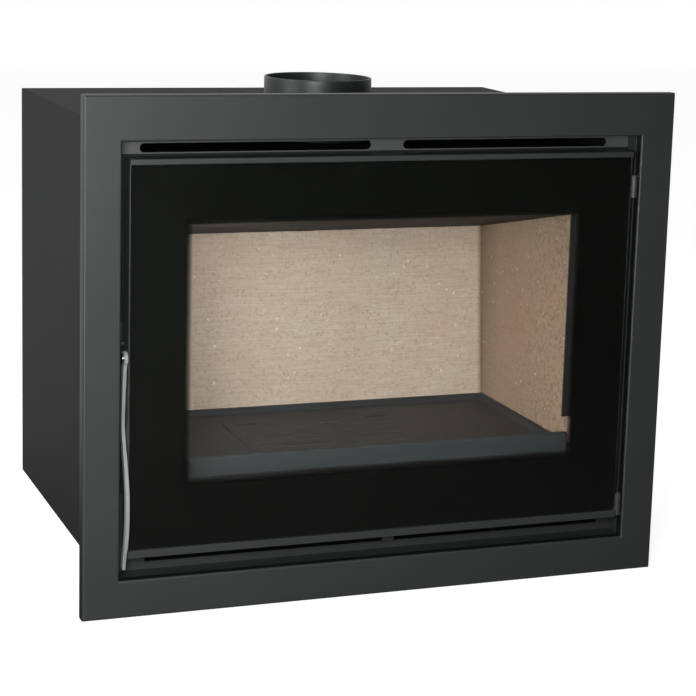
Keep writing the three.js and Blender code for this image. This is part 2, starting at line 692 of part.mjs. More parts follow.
function airSlider() {
  const y1 = wellFront - WELL_T - GAP;
  const y0 = y1 - SLIDER_T;
  const z0 = ledgeTop + GAP;
  const tabY = facadeFront - SLIDER_REACH;
  const tabLeft = SLIDER_X - SLIDER_TAB_W / 2;
  const tabRight = SLIDER_X + SLIDER_TAB_W / 2;
  const gate = plateY(rect(GRATE_X - sliderHalf, GRATE_X + sliderHalf, z0, z0 + SLIDER_H), ports(), y0, y1);
  const arm = box(tabLeft, tabRight, tabY, y0 + ROOT, z0, z0 + SLIDER_T);
  const tab = box(tabLeft, tabRight, tabY, tabY + SLIDER_T, z0 - SLIDER_TAB_DROP, z0 + ROOT);
  return join(gate, arm, tab);
}
add('air_slider', airSlider(), bareSteel);

// ---------- door ----------
add('door_glass', box(-glassHalf, glassHalf, GAP, glassBack,
  doorLow + DOOR_LIP_BOTTOM + GAP, doorHigh - DOOR_LIP_TOP - GAP), glass);

// The seal channel runs over all four bars, so each bar takes its own stretch of it.
const ring = (out, low, high, width, y0, y1) => plateY(rect(-out, out, low, high),
  [rect(-out + width, out - width, low + width, high - width)], y0, y1);
const channelLow = fireLow - SEAL_W - 2 * GAP - SEAL_CHANNEL_WALL;
const channelHigh = fireHigh + SEAL_W + 2 * GAP + SEAL_CHANNEL_WALL;
const channelY = [DOOR_DEPTH - ROOT, DOOR_DEPTH + SEAL_CHANNEL_H];
const channelOut = channelHalf + SEAL_CHANNEL_WALL;
const outerLip = ring(channelOut, channelLow, channelHigh, SEAL_CHANNEL_WALL, ...channelY);
const innerLip = ring(fireHalf, fireLow, fireHigh, SEAL_CHANNEL_WALL, ...channelY);
function doorBar(x0, x1, z0, z1, alongX) {
  const t = DOOR_TUBE_T;
  const bore = alongX
    ? box(x0 - t, x1 + t, tubeFront + t, DOOR_DEPTH - t, z0 + t, z1 - t)
    : box(x0 + t, x1 - t, tubeFront + t, DOOR_DEPTH - t, z0 - t, z1 + t);
  const tube = cut(box(x0, x1, tubeFront, DOOR_DEPTH, z0, z1), bore);
  const reach = box(x0, x1, tubeFront, facadeFront, z0, z1);
  return join(tube, common(outerLip, reach), common(innerLip, reach));
}
const lip = (z0, z1) => box(-doorHalf, doorHalf, 0, tubeFront + ROOT, z0, z1);
add('door_rail_top', join(doorBar(-doorHalf, doorHalf, viewHigh, doorHigh, true),
  lip(doorHigh - DOOR_LIP_TOP, doorHigh)), anthracite);
add('door_rail_bottom', join(doorBar(-doorHalf, doorHalf, doorLow, viewLow, true),
  lip(doorLow, doorLow + DOOR_LIP_BOTTOM)), anthracite);

const pivotBore = (x0, x1) => plateX(disc(pivotY, pivotZ, BOLT_R + RUN), [], x0, x1, BORE_STEPS);
const stileLow = viewLow + GAP;
const stileHigh = viewHigh - GAP;
add('door_stile_left', cut(doorBar(-doorHalf, -viewHalf, stileLow, stileHigh, false),
  pivotBore(-doorHalf - PASS, -viewHalf + PASS)), anthracite);
add('door_stile_right', doorBar(viewHalf, doorHalf, stileLow, stileHigh, false), anthracite);

add('door_seal', ring(fireHalf + SEAL_W + GAP, fireLow - SEAL_W - GAP, fireHigh + SEAL_W + GAP, SEAL_W,
  DOOR_DEPTH + GAP, facadeFront - GAP), rope);

// An angle on each side's inner edge holds the glass by its back, notched to clear the pivot nut.
const clipFront = glassBack + GAP;
for (const [name, side] of SIDES) {
  add(`glass_clip_${name}`, cut(
    sideBox(side, viewHalf - CLIP_REACH, viewHalf - GAP, clipFront, glassBack + CLIP_DEPTH,
      stileLow + CLIP_REACH, stileHigh - CLIP_REACH),
    sideBox(side, 0, viewHalf - GAP - CLIP_T, clipFront + CLIP_T, facadeFront, 0, far),
    sideBox(side, 0, viewHalf - GAP - CLIP_T, 0, facadeFront, pivotZ - CLIP_NOTCH, pivotZ + CLIP_NOTCH),
    pivotBore(-viewHalf, -viewHalf + CLIP_REACH)), bareSteel);
}

// ---------- hinges ----------
function doorBarrel(z) {
  const leaf = box(doorHalf + GAP, doorHalf + GAP + LEAF_T, LEAF_FRONT, DOOR_DEPTH - LEAF_SHORT,
    z, z + BARREL_H);
  return cut(join(rod(barrelR, z, z + BARREL_H, hingeX, hingeY), leaf),
    rod(pinR + RUN, z - PASS, z + BARREL_H + PASS, hingeX, hingeY));
}
// The bracket's plate lies under (or over) the barrel, and its pin runs through it.
function hingeBracket(plateLow, pinLow, pinHigh) {
  const plateHigh = plateLow + HINGE_PLATE_T;
  const plate = box(hingeX, throatIn - GAP, hingeY - pinR, hingeY + barrelR, plateLow, plateHigh);
  return join(rod(barrelR, plateLow, plateHigh, hingeX, hingeY), plate,
    rod(pinR, pinLow, pinHigh, hingeX, hingeY));
}
const barrelLow = doorLow + HINGE_LOW;
const barrelHigh = doorHigh - HINGE_HIGH;
const lowPlateTop = barrelLow - GAP;
const highPlateLow = barrelHigh + BARREL_H + GAP;
add('door_hinge_lower', doorBarrel(barrelLow), bareSteel);
add('door_hinge_upper', doorBarrel(barrelHigh), bareSteel);
add('hinge_bracket_lower', hingeBracket(lowPlateTop - HINGE_PLATE_T, lowPlateTop - ROOT,
  barrelLow + BARREL_H - PIN_SHORT), bareSteel);
add('hinge_bracket_upper', hingeBracket(highPlateLow, barrelHigh + PIN_SHORT,
  highPlateLow + ROOT), bareSteel);

// ---------- handle ----------
function leverOutline() {
  const line = new THREE.SplineCurve(LEVER_LINE.map(([y, z]) => new THREE.Vector2(pivotY + y, pivotZ + z)));
  const front = [];
  const rear = [];
  for (let i = 0; i <= LEVER_STEPS; i += 1) {
    const t = i / LEVER_STEPS;
    const p = line.getPoint(t);
    const dir = line.getTangent(t);
    const half = LEVER_W / 2 * (1 - LEVER_TAPER * t);
    front.push(new THREE.Vector2(p.x + dir.y * half, p.y - dir.x * half));
    rear.push(new THREE.Vector2(p.x - dir.y * half, p.y + dir.x * half));
  }
  return new THREE.Shape([...front, ...rear.reverse()]);
}
function leverBody() {
  const arm = plateX(leverOutline(), [], leverFar, leverNear);
  const boss = plateX(disc(pivotY, pivotZ, LEVER_BOSS), [], leverFar, leverNear, BORE_STEPS);
  const nose = plateX(slot(pivotY, facadeFront - NOSE_CLEAR, pivotZ, NOSE_H), [], leverFar, leverNear);
  return cut(join(arm, boss, nose), pivotBore(leverFar - PASS, leverNear + PASS));
}
add('handle_lever', leverBody(), anthracite);

function pivotBolt() {
  const headFace = leverFar - GAP;
  const shank = headFace - nutSeat - NUT_H - BOLT_END;
  const dome = [];
  for (let i = 0; i < BOLT_DOME_STEPS; i += 1) {
    const angle = (i / BOLT_DOME_STEPS) * Math.PI / 2;
    dome.push([BOLT_HEAD_R * Math.cos(angle), BOLT_RIM_H + (BOLT_HEAD_H - BOLT_RIM_H) * Math.sin(angle)]);
  }
  const profile = [[0, shank], [BOLT_R, shank], [BOLT_R, 0], [BOLT_HEAD_R, 0], ...dome, [0, BOLT_HEAD_H]];
  const points = profile.map(([r, h]) => new THREE.Vector2(r, h));
  return new THREE.LatheGeometry(points, ROUND_STEPS).rotateZ(Math.PI / 2)
    .translate(headFace, pivotY, pivotZ);
}
add('handle_bolt', pivotBolt(), polished);

const hexagon = [30, 90, 150, 210, 270, 330].map((deg) => [
  pivotY + NUT_R * Math.cos(deg * Math.PI / 180), pivotZ + NUT_R * Math.sin(deg * Math.PI / 180)]);
add('handle_nut', plateX(polygon(hexagon), [disc(pivotY, pivotZ, BOLT_R + RUN)], nutSeat, nutSeat + NUT_H,
  BORE_STEPS), bareSteel);

// Keeper on the front plate, just above the lever's nose.
const keeperLow = pivotZ + LEVER_BOSS + KEEPER_GAP;
add('latch_keeper', cut(
  box(leverFar - KEEPER_SIDE, leverNear + KEEPER_SIDE, facadeFront - KEEPER_DEPTH, throatBack,
    keeperLow, keeperLow + KEEPER_H),
  box(-far, 0, 0, throatBack - KEEPER_T, keeperLow + KEEPER_LIP, far)), bareSteel);

// ---------- origin: middle of the footprint, on the floor ----------
const reach = new THREE.Box3().setFromObject(insert);
insert.position.set(-(reach.min.x + reach.max.x) / 2, -(reach.min.y + reach.max.y) / 2, -reach.min.z);

export default insert;
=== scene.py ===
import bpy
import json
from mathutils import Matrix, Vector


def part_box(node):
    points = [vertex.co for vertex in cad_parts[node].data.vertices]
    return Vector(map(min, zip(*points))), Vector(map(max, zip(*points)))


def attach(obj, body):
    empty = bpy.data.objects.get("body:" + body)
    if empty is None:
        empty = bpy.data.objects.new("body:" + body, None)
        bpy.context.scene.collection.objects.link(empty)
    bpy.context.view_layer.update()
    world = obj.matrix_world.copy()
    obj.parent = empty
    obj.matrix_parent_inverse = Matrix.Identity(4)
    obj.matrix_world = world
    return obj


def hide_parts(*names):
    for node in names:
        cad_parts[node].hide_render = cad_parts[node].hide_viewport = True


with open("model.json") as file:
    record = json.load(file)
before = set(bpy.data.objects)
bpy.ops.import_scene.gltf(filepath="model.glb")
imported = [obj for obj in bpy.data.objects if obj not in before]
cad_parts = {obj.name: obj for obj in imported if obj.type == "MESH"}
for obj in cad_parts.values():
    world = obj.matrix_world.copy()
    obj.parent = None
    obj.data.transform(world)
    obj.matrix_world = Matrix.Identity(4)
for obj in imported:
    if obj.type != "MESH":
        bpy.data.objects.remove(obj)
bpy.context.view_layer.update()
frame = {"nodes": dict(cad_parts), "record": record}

import json
import math

import bmesh
import bpy
from bpy.props import FloatProperty, FloatVectorProperty, PointerProperty
from mathutils import Matrix, Vector, noise

bl_info = {
    "name": "Fireplace insert",
    "version": (1, 0, 0),
    "blender": (4, 5, 0),
    "location": "3D View > Sidebar > Fireplace",
    "description": "Dresses a wood-burning fireplace insert with its paint, glass, lining and rope seal",
    "category": "Object",
}

# The insert's own frame: x from the door's middle, y from the surround's front plane into the wall,
# z from the surround's lower edge, in millimetres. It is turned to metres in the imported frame.
MM = 0.001
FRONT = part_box("surround_frame")[0].y
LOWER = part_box("surround_frame")[0].z
BODY_OF = {node: body for body, nodes in frame["record"]["behaviour"]["bodies"].items() for node in nodes}

# Camera, solved from the straight edges of the surround, the casing and the flue collar.
FRAME_PX = 696
FOCAL_PX = 2049.38
CENTRE_PX = (389.09, 291.38)
SENSOR_MM = 36.0
CAMERA_AT = (-946.33, -2409.28, 891.41)
CAMERA_YAW, CAMERA_PITCH, CAMERA_ROLL = (math.radians(a) for a in (21.414, 10.613, 1.806))

WELD = 0.01 * MM              # vertices closer than this are one
FLAT = math.radians(0.5)      # faces that lie in one plane
ROUNDED = math.radians(40)    # edges sharper than this are rounded
SHADE_SHARP = math.radians(50)
SKIN = 0.1 * MM               # printed enamel


def at(x, y, z):
    """A point of the insert's own frame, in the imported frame."""
    return Vector((x * MM, FRONT + y * MM, LOWER + z * MM))


def linear(code):
    """A linear colour from an sRGB hex value."""
    channels = [int(code[i:i + 2], 16) / 255 for i in (0, 2, 4)]
    return [c / 12.92 if c <= 0.04045 else ((c + 0.055) / 1.055) ** 2.4 for c in channels] + [1.0]


def colour(name, code, description):
    """A colour that a user can change."""
    return FloatVectorProperty(name=name, description=description, subtype="COLOR", size=4,
                               min=0, max=1, default=linear(code))


def length(name, value, description):
    """A size in millimetres that a user can change."""
    return FloatProperty(name=name, description=description, unit="LENGTH", default=value * MM, precision=5)


class FireplaceSizes(bpy.types.PropertyGroup):
    """Sizes of what the finish adds to the construction."""
    sheet_round: length("Sheet edge", 0.5, "Radius on the edges of sheet steel")
    cast_round: length("Cast edge", 1.2, "Radius on the edges of cast iron")
    board_chip: length("Board chip", 1.5, "How deep the boards' edges are chipped")
    window_half: length("Window half width", 266.5, "Clear glass from the middle to the print")
    window_low: length("Window bottom", 170, "Lower edge of the clear glass, above the surround's lower edge")
    window_high: length("Window top", 503, "Upper edge of the clear glass")
    window_fade: length("Window fade", 9, "Width over which the print fades out")
    rope_strand: length("Rope lay", 14, "Length in which a strand goes once round the rope")


class FireplaceColours(bpy.types.PropertyGroup):
    """Colours of the finishes."""
    surround: colour("Surround", "2a2d2d", "Satin paint of surround and door")
    vent: colour("Vent panel", "454a47", "Paint behind the warm-air slots")
    casing: colour("Casing", "1d1f1e", "Matt paint of the casing")
    firebox: colour("Firebox", "161617", "Heat-proof paint inside")
    iron: colour("Cast iron", "2b2e32", "Painted cast iron of the hearth")
    board: colour("Board", "beb0a6", "Pressed vermiculite")
    flake: colour("Board flake", "cbbeb1", "Pale flakes in the board")
    grain: colour("Board grain", "8f7b69", "Brown grains in the board")
    # Paler than the door's paint: painted light on the lever, which lies in shade in the gap.
    lever: colour("Lever", "85888a", "Pale satin paint of the lever")
    collar: colour("Collar", "2b2e2e", "Satin paint of the flue collar")
    enamel: colour("Enamel", "050605", "Black print on the glass")
    rope: colour("Rope", "2e2f30", "Glass-fibre rope")


def sizes():
    """The sizes as they are set now."""
    return bpy.context.scene.fireplace_sizes


def colours():
    """The colours as they are set now."""
    return bpy.context.scene.fireplace_colours


# ---------- material nodes ----------
def add(tree, kind, values=None, links=None, **settings):
    """Adds a node with its settings, input values and links."""
    made = tree.nodes.new(kind)
    for name, value in settings.items():
        setattr(made, name, value)
    for name, value in (values or {}).items():
        made.inputs[name].default_value = value
    for name, socket in (links or {}).items():
        tree.links.new(socket, made.inputs[name])
    return made


def start(name):
    """A material with an empty tree, and the piece's own coordinates in metres."""
    made = bpy.data.materials.new(name)
    made.use_nodes = True
    made.node_tree.nodes.clear()
    place = add(made.node_tree, "ShaderNodeTexCoord").outputs["Object"]
    return made, made.node_tree, place


def speckle(tree, place, size_mm, detail=2.0, stretch=(1, 1, 1)):
    """Noise whose features are about size_mm, longer along an axis whose stretch is above 1."""
    scaled = add(tree, "ShaderNodeMapping", {"Scale": [1 / (size_mm * MM * s) for s in stretch]},
                 {"Vector": place}).outputs["Vector"]
    noisy = add(tree, "ShaderNodeTexNoise", {"Scale": 1.0, "Detail": detail}, {"Vector": scaled})
    return noisy.outputs["Fac"]


def ranged(tree, value, low, high, start_at=0.35, end_at=0.65):
    """Low where the value is at start_at, high where it is at end_at, and even between them."""
    limits = {"From Min": start_at, "From Max": end_at, "To Min": low, "To Max": high}
    return add(tree, "ShaderNodeMapRange", limits, {"Value": value}).outputs["Result"]


def blended(tree, share, a, b, how="MIX"):
    """Mixes two colours, each a value or a socket, by share."""
    mix = add(tree, "ShaderNodeMix", data_type="RGBA", blend_type=how)
    for socket, source in ((mix.inputs[0], share), (mix.inputs[6], a), (mix.inputs[7], b)):
        if isinstance(source, bpy.types.NodeSocket):
            tree.links.new(source, socket)
        else:
            socket.default_value = source
    return mix.outputs[2]


def calculated(tree, how, a, b):
    """One sum on two numbers, each a value or a socket."""
    node = add(tree, "ShaderNodeMath", operation=how)
    for socket, source in zip(node.inputs, (a, b)):
        if isinstance(source, bpy.types.NodeSocket):
            tree.links.new(source, socket)
        else:
            socket.default_value = source
    return node.outputs[0]


def shaded(colour_value, factor):
    """The colour made darker, or lighter with a factor above 1."""
    return [c * factor for c in colour_value[:3]] + [1.0]


def raised(tree, height, distance_mm):
    """Relief whose full height is distance_mm."""
    depth = {"Distance": distance_mm * MM, "Strength": 1.0}
    return add(tree, "ShaderNodeBump", depth, {"Height": height}).outputs["Normal"]


def surface(tree, shader):
    """Ends a material in its shader."""
    add(tree, "ShaderNodeOutputMaterial", links={"Surface": shader})


# ---------- finishes: grain in millimetres, colours in sRGB ----------
PEEL_MM = 1.6                 # orange peel, drawn coarser than the real 0.5 so that it shows
PAINT_CLOUD_MM = 90
# Painted shade: the surround's folded returns are painted near black.
RETURN_SHADE = "060707"
RETURN_SHADE_STARTS = 1.8 * MM      # behind the surround's front plane
RETURN_SHADE_FULL = 2.6 * MM


def stove_paint(name, paint, roughness, level=0.5, shaded_returns=False):
    """Sprayed silicone stove paint: satin, with a fine orange peel and slightly uneven gloss. With the
    returns option, the surround's folded returns are painted near black as painted shade."""
    made, tree, place = start(name)
    peel = speckle(tree, place, PEEL_MM)
    cloud = speckle(tree, place, PAINT_CLOUD_MM, detail=3.0)
    tone = blended(tree, ranged(tree, cloud, 0, 1), shaded(paint, 0.97), shaded(paint, 1.03))
    fine = blended(tree, ranged(tree, peel, 0, 0.5), tone, shaded(paint, 0.9))
    if shaded_returns:
        # Painted shade: near black on the returns, behind the front plane.
        depth = add(tree, "ShaderNodeSeparateXYZ", links={0: place}).outputs["Y"]
        bare = ranged(tree, depth, 0, 1, FRONT + RETURN_SHADE_STARTS, FRONT + RETURN_SHADE_FULL)
        fine = blended(tree, bare, fine, linear(RETURN_SHADE))
    surface(tree, add(tree, "ShaderNodeBsdfPrincipled", {"IOR": 1.5, "Specular IOR Level": level}, {
        "Base Color": fine,
        "Roughness": ranged(tree, cloud, roughness - 0.01, roughness + 0.01),
        "Normal": raised(tree, peel, 0.05),
    }).outputs["BSDF"])
    return made


SAND_MM = 1.8                 # grain of the mould's sand, drawn coarser than real sand so that it shows
HOLLOW_MM = 35
HOLLOW_DEPTH = 3.0            # of a hollow, in heights of the sand's grain
# Painted shade in the slots and joints below the hearth's top, near black.
SLOT_SHADE = "070707"
SLOT_SHADE_STARTS = 0.8 * MM        # below the grate's top
SLOT_SHADE_FULL = 2.5 * MM


def cast_iron():
    """Sand-cast iron under matt stove paint: a close sandy grain and shallow hollows. Everything more than
    0.8 mm below the grate's top, such as slots and joints, is painted near black as painted shade."""
    made, tree, place = start("cast_hearth")
    height = add(tree, "ShaderNodeSeparateXYZ", links={0: place}).outputs["Z"]
    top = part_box("grate")[1].z
    # Painted shade: near black below the grate's top.
    slot_shade = ranged(tree, height, 1, 0, top - SLOT_SHADE_FULL, top - SLOT_SHADE_STARTS)
    iron = colours().iron
    sand = speckle(tree, place, SAND_MM, detail=4.0)
    hollow = speckle(tree, place, HOLLOW_MM, detail=2.0)
    tone = blended(tree, ranged(tree, sand, 0, 1), shaded(iron, 0.8), shaded(iron, 1.15))
    tone = blended(tree, ranged(tree, hollow, 0, 0.5), tone, shaded(iron, 0.85))
    tone = blended(tree, slot_shade, tone, linear(SLOT_SHADE))
    both = calculated(tree, "ADD", sand, calculated(tree, "MULTIPLY", hollow, HOLLOW_DEPTH))
    surface(tree, add(tree, "ShaderNodeBsdfPrincipled", {"IOR": 1.5, "Specular IOR Level": 0.45}, {
        "Base Color": tone,
        "Roughness": ranged(tree, sand, 0.52, 0.68),
        "Normal": raised(tree, both, 0.18),
    }).outputs["BSDF"])
    return made


FLAKE_MM = 3.0
GRIT_MM = 4.5                 # coarser grains in the right board
DUST_MM = 1.5
STREAK_MM = 2.2               # height of a press streak
STREAK_STRETCH = (28, 28, 1)  # its length, in heights
BLOOM_MM = 110
BLOOM = "b58a70"              # faint reddish tinge
# Painted shade: the right board is painted browner, since it gets less light.
RIGHT_BOARD_SHADE = "84674f"              # of the right board
RIGHT_BOARD_SHADE_SHARE = 0.6
# Painted shade in the right board's back corner.
CORNER_SHADE = "5d5140"       # of the right board, at the back
# Golden mica flakes, partly a painted glint: drawn paler than the flakes are.
GLINT = "e6d6ba"              # golden mica
RIGHT_BOARD = (0.3, 0.307)    # x over which the look turns to the right board's, in metres
GRIT_FADES = (0.09, 0.3)      # depths behind the surround's front, in metres
CORNER_SHADE_FADES = (0.335, 0.4)


def vermiculite():
    """Pressed vermiculite board: pale mica flakes and brown grains about 3 mm across in a warm matt matrix,
    with level streaks from the press and a few golden mica flakes that are partly painted glints. The right
    board is painted browner as painted shade, is coarser towards the door, and is painted darker beside the
    back corner as painted shade."""
    made, tree, place = start("vermiculite")
    palette = colours()
    parts = add(tree, "ShaderNodeSeparateXYZ", links={0: place}).outputs
    aside = ranged(tree, parts["X"], 0, 1, *RIGHT_BOARD)
    flakes = add(tree, "ShaderNodeTexVoronoi", {"Scale": 1 / (FLAKE_MM * MM)}, {"Vector": place})
    chance = add(tree, "ShaderNodeSeparateColor", links={"Color": flakes.outputs["Color"]}).outputs
    pale = ranged(tree, chance["Red"], 0, 0.6, start_at=0.5, end_at=1.0)
    tone = blended(tree, pale, palette.board, palette.flake)
    brown = ranged(tree, chance["Green"], 0, 0.6, start_at=0.78, end_at=1.0)
    tone = blended(tree, brown, tone, palette.grain)
    streak = speckle(tree, place, STREAK_MM, detail=4.0, stretch=STREAK_STRETCH)
    tone = blended(tree, ranged(tree, streak, 0, 0.42), tone, shaded(palette.grain, 1.1))
    bloom = speckle(tree, place, BLOOM_MM, detail=2.0)
    tone = blended(tree, ranged(tree, bloom, 0, 0.2), tone, linear(BLOOM))
    dust = speckle(tree, place, DUST_MM, detail=4.0)
    tone = blended(tree, ranged(tree, dust, 0, 0.46), tone, shaded(palette.board, 0.66))
    # Painted shade: the right board is browned, as it gets less light.
    tone = blended(tree, calculated(tree, "MULTIPLY", aside, RIGHT_BOARD_SHADE_SHARE), tone, linear(RIGHT_BOARD_SHADE))

    coarse = add(tree, "ShaderNodeTexVoronoi", {"Scale": 1 / (GRIT_MM * MM)}, {"Vector": place})
    grit = add(tree, "ShaderNodeSeparateColor", links={"Color": coarse.outputs["Color"]}).outputs["Red"]
    towards_door = ranged(tree, parts["Y"], 0.75, 0.1, *(FRONT + depth for depth in GRIT_FADES))
    near = calculated(tree, "MULTIPLY", aside, towards_door)
    gritty = calculated(tree, "MULTIPLY", near, ranged(tree, grit, 0, 1, start_at=0.55, end_at=0.9))
    tone = blended(tree, gritty, tone, shaded(palette.grain, 0.6))
    # Painted shade: the right board darkens towards the back corner.
    towards_back = ranged(tree, parts["Y"], 0, 0.4, *(FRONT + depth for depth in CORNER_SHADE_FADES))
    corner = calculated(tree, "MULTIPLY", aside, towards_back)
    tone = blended(tree, corner, tone, linear(CORNER_SHADE))

    # Mica flakes, painted pale as painted glints, and a little less rough.
    glint = ranged(tree, chance["Blue"], 0, 0.7, start_at=0.994, end_at=0.999)
    tone = blended(tree, glint, tone, linear(GLINT))
    rough = ranged(tree, glint, 0.92, 0.6, start_at=0, end_at=1)
    relief = calculated(tree, "ADD", dust, chance["Red"])
    surface(tree, add(tree, "ShaderNodeBsdfPrincipled", {"IOR": 1.45, "Specular IOR Level": 0.2}, {
        "Base Color": tone,
        "Roughness": rough,
        "Normal": raised(tree, relief, 0.18),
    }).outputs["BSDF"])
    return made


BRUSH_MM = 0.5                # width of a brushed line
BRUSH_STRETCH = 40            # its length, in widths
ZINC = "8e9092"
POLISH = "c4c6c7"


def steel(name, code, roughness, brushed):
    """Bare steel: brushed lines along Z where it is rolled stock, near mirror where it is polished."""
    made, tree, place = start(name)
    lines = speckle(tree, place, BRUSH_MM, stretch=(1, 1, BRUSH_STRETCH if brushed else 1))
    tone = blended(tree, ranged(tree, lines, 0, 1), shaded(linear(code), 0.85), linear(code))
    surface(tree, add(tree, "ShaderNodeBsdfPrincipled", {"Metallic": 1.0}, {
        "Base Color": tone,
        "Roughness": ranged(tree, lines, roughness - 0.05, roughness + 0.08),
        "Normal": raised(tree, lines, 0.01),
    }).outputs["BSDF"])
    return made


GLASS_TINT = "fbfcf9"
GLASS_SHADOW = "f4f5f1"       # what is left of a lamp's light behind the pane


def ceramic_glass():
    """Clear glass-ceramic with a faint smoky tint. Lamps reach the fire through it."""
    made, tree, _ = start("stove_glass")
    pane = add(tree, "ShaderNodeBsdfPrincipled", {
        "Base Color": linear(GLASS_TINT), "Roughness": 0.0, "IOR": 1.5, "Transmission Weight": 1.0})
    through = add(tree, "ShaderNodeBsdfTransparent", {"Color": linear(GLASS_SHADOW)})
    lamps = add(tree, "ShaderNodeLightPath").outputs["Is Shadow Ray"]
    surface(tree, add(tree, "ShaderNodeMixShader", links={
        0: lamps, 1: pane.outputs["BSDF"], 2: through.outputs["BSDF"]}).outputs["Shader"])
    return made


ENAMEL_CLOUD_MM = 40


def black_enamel():
    """Fired black enamel on the glass, with a barely uneven tone. Round the window it thins out in
    a screen of fine dots, drawn as an even fade."""
    made, tree, place = start("black_enamel")
    size = sizes()
    parts = add(tree, "ShaderNodeSeparateXYZ", links={0: place}).outputs
    beside = calculated(tree, "SUBTRACT", calculated(tree, "ABSOLUTE", parts["X"], 0), size.window_half)
    below = calculated(tree, "SUBTRACT", LOWER + size.window_low, parts["Z"])
    above = calculated(tree, "SUBTRACT", parts["Z"], LOWER + size.window_high)
    outside = calculated(tree, "MAXIMUM", calculated(tree, "MAXIMUM", beside, below), above)
    cover = ranged(tree, outside, 0, 1, -size.window_fade / 2, size.window_fade / 2)
    cloud = speckle(tree, place, ENAMEL_CLOUD_MM)
    tone = blended(tree, ranged(tree, cloud, 0, 1), colours().enamel, shaded(colours().enamel, 1.3))
    print_coat = add(tree, "ShaderNodeBsdfPrincipled", {"Roughness": 0.4, "Specular IOR Level": 0.05},
                     {"Base Color": tone}).outputs["BSDF"]
    bare = add(tree, "ShaderNodeBsdfTransparent").outputs["BSDF"]
    both = add(tree, "ShaderNodeMixShader", links={0: cover, 1: bare, 2: print_coat})
    surface(tree, both.outputs["Shader"])
    return made


STITCH_MM = 1.5


def fibre_rope():
    """Knitted glass-fibre rope: dull, with short dark gaps between the stitches."""
    made, tree, place = start("rope_seal")
    rope = colours().rope
    stitch = speckle(tree, place, STITCH_MM, detail=4.0)
    tone = blended(tree, ranged(tree, stitch, 0, 1), shaded(rope, 0.5), shaded(rope, 1.3))
    surface(tree, add(tree, "ShaderNodeBsdfPrincipled", {"Specular IOR Level": 0.2}, {
        "Base Color": tone,
        "Roughness": ranged(tree, stitch, 0.85, 1.0),
        "Normal": raised(tree, stitch, 0.4),
    }).outputs["BSDF"])
    return made


RUBBER = "191919"
RUBBER_DUST = "242423"
RUBBER_DUST_MM = 2.5


def rubber():
    """Moulded black rubber, dull and a little dusty."""
    made, tree, place = start("foot_rubber")
    dust = speckle(tree, place, RUBBER_DUST_MM, detail=3.0)
    tone = blended(tree, ranged(tree, dust, 0, 1), linear(RUBBER), linear(RUBBER_DUST))
    surface(tree, add(tree, "ShaderNodeBsdfPrincipled", {"IOR": 1.52}, {
        "Base Color": tone,
        "Roughness": ranged(tree, dust, 0.7, 0.9),
        "Normal": raised(tree, dust, 0.05),
    }).outputs["BSDF"])
    return made


def mixed_finishes():
    """Every finish. Most are named for the record's slot that they finish. The paints of surround,
    lever and collar, and the print on the glass, are looks of pieces in another slot."""
    palette = colours()
    return {
        "frame_paint": stove_paint("frame_paint", palette.surround, 0.5, level=0.6),
        # The surround's paint carries painted shade on its folded returns.
        "surround_paint": stove_paint("surround_paint", palette.surround, 0.5, level=0.6, shaded_returns=True),
        # The lever's paint is paler than the door's, as painted light.
        "lever_lit_paint": stove_paint("lever_lit_paint", palette.lever, 0.35, level=0.8),
        "collar_paint": stove_paint("collar_paint", palette.collar, 0.42, level=0.7),
        "vent_paint": stove_paint("vent_paint", palette.vent, 0.5),
        "casing_paint": stove_paint("casing_paint", palette.casing, 0.75, level=0.2),
        "stove_paint": stove_paint("stove_paint", palette.firebox, 0.7, level=0.3),
        "cast_hearth": cast_iron(),
        "vermiculite": vermiculite(),
        "bare_steel": steel("bare_steel", ZINC, 0.38, True),
        "polished_steel": steel("polished_steel", POLISH, 0.16, False),
        "stove_glass": ceramic_glass(),
        "rope_seal": fibre_rope(),
        "foot_rubber": rubber(),
        "print": black_enamel(),
    }


FINISH = {}                   # filled by the finishes operator

# The sheet metal and the castings, by the record's slot.
SLOT_OF = {
    "frame_paint": ["surround_frame", "throat_left", "throat_right", "throat_top", "throat_bottom",
                    "front_plate_bottom", "door_rail_top", "door_rail_bottom", "door_stile_left",
                    "door_stile_right", "handle_lever"],
    "vent_paint": ["vent_panel"],
    "casing_paint": ["casing_left", "casing_right", "casing_top", "casing_bottom", "casing_back",
                     "base_rail_left", "base_rail_right"],
    "stove_paint": ["baffle", "front_plate_top", "front_plate_left", "front_plate_right", "firebox_wall_left",
                    "firebox_wall_right", "firebox_wall_back", "firebox_floor", "firebox_roof",
                    "firebox_stand_left", "firebox_stand_right", "rear_air_duct", "air_wash_deflector",
                    "lining_strip_left", "lining_strip_right", "ash_well", "ash_pan"],
    "cast_hearth": ["hearth_plate", "grate", "log_retainer"],
    "bare_steel": ["air_slider", "glass_clip_left", "glass_clip_right", "door_hinge_lower",
                   "door_hinge_upper", "hinge_bracket_lower", "hinge_bracket_upper", "handle_nut",
                   "latch_keeper"],
}

# Pieces whose look is another than their slot's.
LOOK_OF = {
    "surround_frame": "surround_paint",
    "handle_lever": "lever_lit_paint",
    "door_hinge_lower": "frame_paint",
    "door_hinge_upper": "frame_paint",
    "hinge_bracket_lower": "frame_paint",
    "hinge_bracket_upper": "frame_paint",
    "latch_keeper": "frame_paint",
    "air_slider": "frame_paint",
}


